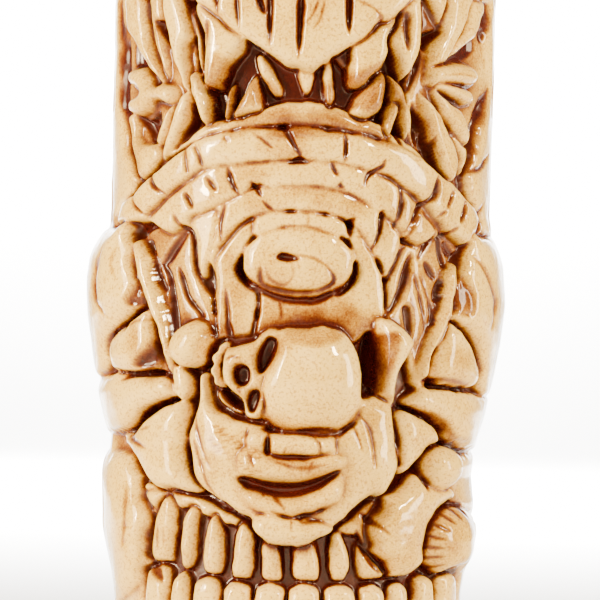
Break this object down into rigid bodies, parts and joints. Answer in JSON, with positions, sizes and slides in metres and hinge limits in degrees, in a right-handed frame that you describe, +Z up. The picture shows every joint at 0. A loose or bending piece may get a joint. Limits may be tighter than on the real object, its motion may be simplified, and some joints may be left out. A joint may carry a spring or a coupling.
{
  "type": "tiki mug",
  "caption": "Tall glazed ceramic tiki mug carved in high relief with a one-eyed idol under a fanged beast mask, a skull for a nose and teeth round the foot.",
  "frame": {"origin": "centre of the foot ring, on the table", "axes": "+Z up along the cup's axis, -Y out of the idol's face, +X to the right of someone who faces the idol"},
  "size_m": [0.086, 0.0857, 0.18],
  "materials": {
    "glaze_cream": "glossy cream glaze with a brown wash in the hollows",
    "glaze_tan": "glossy tan glaze with a red-brown wash",
    "glaze_amber": "glossy amber glaze with a red-brown wash"
  },
  "bodies": {
    "root": {"vessel": "glaze_tan", "crown_leaves": "glaze_cream", "beast_brow": "glaze_cream", "beast_eye_left": "glaze_cream", "beast_eye_right": "glaze_cream", "beast_snout": "glaze_cream", "beast_fangs_left": "glaze_cream", "beast_fangs_right": "glaze_cream", "beast_inner_teeth": "glaze_tan", "beast_lower_fangs": "glaze_cream", "beast_lower_jaw": "glaze_amber", "leaves_left": "glaze_cream", "leaves_right": "glaze_cream", "bone_charm": "glaze_cream", "seed_fan": "glaze_cream", "brow_course_outer": "glaze_cream", "brow_course_middle": "glaze_cream", "brow_course_inner": "glaze_cream", "eyelid": "glaze_cream", "eyeball": "glaze_cream", "face_planks": "glaze_cream", "side_lock_left": "glaze_cream", "side_lock_right": "glaze_cream", "nose_skull": "glaze_cream", "nose_skull_face": "glaze_cream", "nose_skull_jaw": "glaze_cream", "nose_bone_left": "glaze_cream", "nose_bone_right": "glaze_cream", "cheeks": "glaze_cream", "upper_teeth": "glaze_cream", "upper_lip": "glaze_cream", "lower_lip": "glaze_cream", "chin": "glaze_cream", "shoulder_left": "glaze_cream", "shoulder_right": "glaze_cream", "upper_arm_left": "glaze_cream", "upper_arm_right": "glaze_cream", "forearm_left": "glaze_cream", "forearm_right": "glaze_cream", "hand_left": "glaze_cream", "hand_right": "glaze_cream", "stitched_ball": "glaze_cream", "haunch_left": "glaze_cream", "haunch_right": "glaze_cream", "jaw_lip": "glaze_amber", "tooth_row_upper": "glaze_cream", "tooth_row_lower": "glaze_cream", "plinth": "glaze_cream", "back_leaves": "glaze_cream", "back_courses": "glaze_cream", "back_locks": "glaze_cream"}
  },
  "joints": []
}
